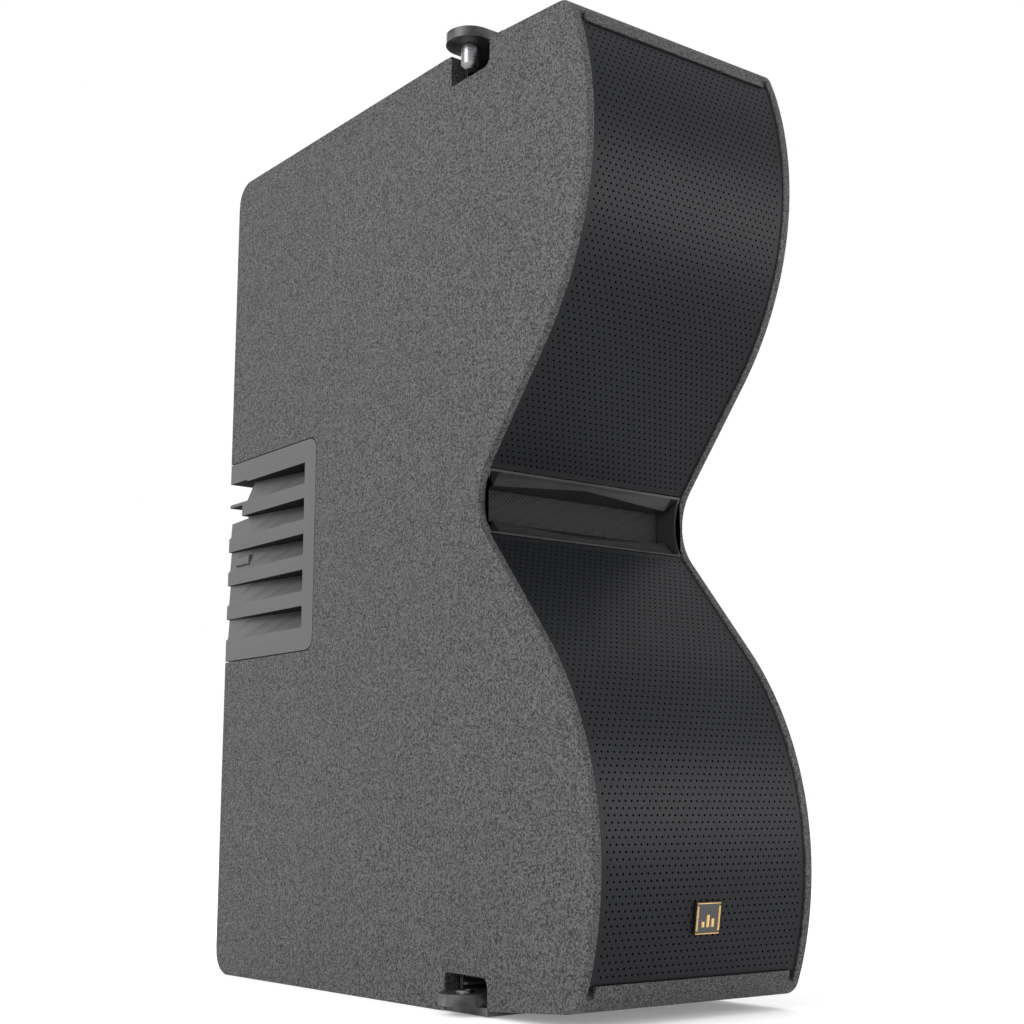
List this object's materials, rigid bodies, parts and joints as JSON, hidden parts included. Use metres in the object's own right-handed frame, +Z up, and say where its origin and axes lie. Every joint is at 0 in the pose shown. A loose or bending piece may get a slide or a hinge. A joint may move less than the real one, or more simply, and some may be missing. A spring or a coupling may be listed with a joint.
{
  "type": "line array speaker",
  "caption": "Compact line array loudspeaker: double-bulge perforated grille front, central waveguide slot, textured cabinet, louvred side covers, sliding link plates.",
  "frame": {"origin": "on the flat underside of the bottom end panel, centred in width and at mid depth", "axes": "+Z up along the long side, -Y the grille front, +X to the right seen from the front"},
  "size_m": [0.1605, 0.3672, 0.5244],
  "materials": {
    "spray_coat": "dark grey textured spray coat over plywood, fine speckle",
    "grille_steel": "perforated steel, satin blue-black powder coat",
    "grille_foam": "black open-cell acoustic foam",
    "horn_plastic": "satin black moulded plastic",
    "cover_plastic": "mid grey moulded plastic, fine grain",
    "black_steel": "black plated steel, semi-gloss",
    "cast_alloy": "cast aluminium, dark paint",
    "ferrite": "ferrite ring and steel plates, matt black",
    "plywood": "birch plywood, sealed",
    "cone_paper": "coated paper cone, matt black",
    "surround_rubber": "black butyl rubber",
    "badge_gold": "brushed gold-coloured frame on black plate",
    "copper_wire": "enamelled copper winding",
    "circuit_board": "green circuit board"
  },
  "bodies": {
    "cabinet": {"side_panel_left": "spray_coat", "side_panel_right": "spray_coat", "end_panel_top": "spray_coat", "end_panel_bottom": "spray_coat", "rear_panel_upper": "spray_coat", "rear_panel_lower": "spray_coat", "baffle_upper": "plywood", "baffle_lower": "plywood", "brace_upper": "plywood", "brace_lower": "plywood", "grille_upper": "grille_steel", "grille_lower": "grille_steel", "grille_foam_upper": "grille_foam", "grille_foam_lower": "grille_foam", "horn_frame": "horn_plastic", "waveguide": "horn_plastic", "driver_rear_cap": "horn_plastic", "socket_input": "horn_plastic", "socket_link": "horn_plastic", "crossover_capacitor": "horn_plastic", "horn_screen": "black_steel", "connector_plate": "black_steel", "rear_arm_pin": "black_steel", "guide_box_top": "black_steel", "guide_box_bottom": "black_steel", "receiver_box_top": "black_steel", "receiver_box_bottom": "black_steel", "connector_screw_1": "black_steel", "connector_screw_2": "black_steel", "connector_screw_3": "black_steel", "connector_screw_4": "black_steel", "side_cover_left": "cover_plastic", "side_cover_right": "cover_plastic", "rear_spine": "cover_plastic", "compression_driver": "ferrite", "badge": "badge_gold", "crossover_board": "circuit_board", "crossover_coil": "copper_wire", "woofer_upper_basket": "cast_alloy", "woofer_upper_magnet": "ferrite", "woofer_upper_surround": "surround_rubber", "woofer_upper_spider": "cone_paper", "woofer_lower_basket": "cast_alloy", "woofer_lower_magnet": "ferrite", "woofer_lower_surround": "surround_rubber", "woofer_lower_spider": "cone_paper"},
    "top_link": {"link_top": "black_steel", "link_pin_top": "black_steel"},
    "bottom_link": {"link_bottom": "black_steel", "link_bushing_bottom": "cast_alloy"},
    "left_button": {"cover_button_left": "cover_plastic"},
    "right_button": {"cover_button_right": "cover_plastic"},
    "link_arm": {"rear_arm": "black_steel"},
    "upper_cone": {"woofer_upper_cone": "cone_paper", "woofer_upper_dust_cap": "cone_paper"},
    "lower_cone": {"woofer_lower_cone": "cone_paper", "woofer_lower_dust_cap": "cone_paper"}
  },
  "joints": [
    {"name": "top_link_slide", "type": "slide", "parent": "cabinet", "child": "top_link", "axis": [1, 0, 0], "range_m": [0, 0.013]},
    {"name": "bottom_link_slide", "type": "slide", "parent": "cabinet", "child": "bottom_link", "axis": [1, 0, 0], "range_m": [0, 0.013]},
    {"name": "link_arm_swing", "type": "hinge", "parent": "cabinet", "child": "link_arm", "pos_m": [0.014, 0.1755, 0.291], "axis": [0, 0, 1], "range_deg": [-180, 0]},
    {"name": "left_button_press", "type": "slide", "parent": "cabinet", "child": "left_button", "axis": [1, 0, 0], "range_m": [0, 0.0025], "stiffness_N_per_m": 800},
    {"name": "right_button_press", "type": "slide", "parent": "cabinet", "child": "right_button", "axis": [-1, 0, 0], "range_m": [0, 0.0025], "stiffness_N_per_m": 800},
    {"name": "upper_cone_travel", "type": "slide", "parent": "cabinet", "child": "upper_cone", "axis": [0, -1, 0], "range_m": [-0.004, 0.004], "stiffness_N_per_m": 2500, "deforming": ["woofer_upper_surround", "woofer_upper_spider"]},
    {"name": "lower_cone_travel", "type": "slide", "parent": "cabinet", "child": "lower_cone", "axis": [0, -1, 0], "range_m": [-0.004, 0.004], "stiffness_N_per_m": 2500, "deforming": ["woofer_lower_surround", "woofer_lower_spider"]}
  ]
}
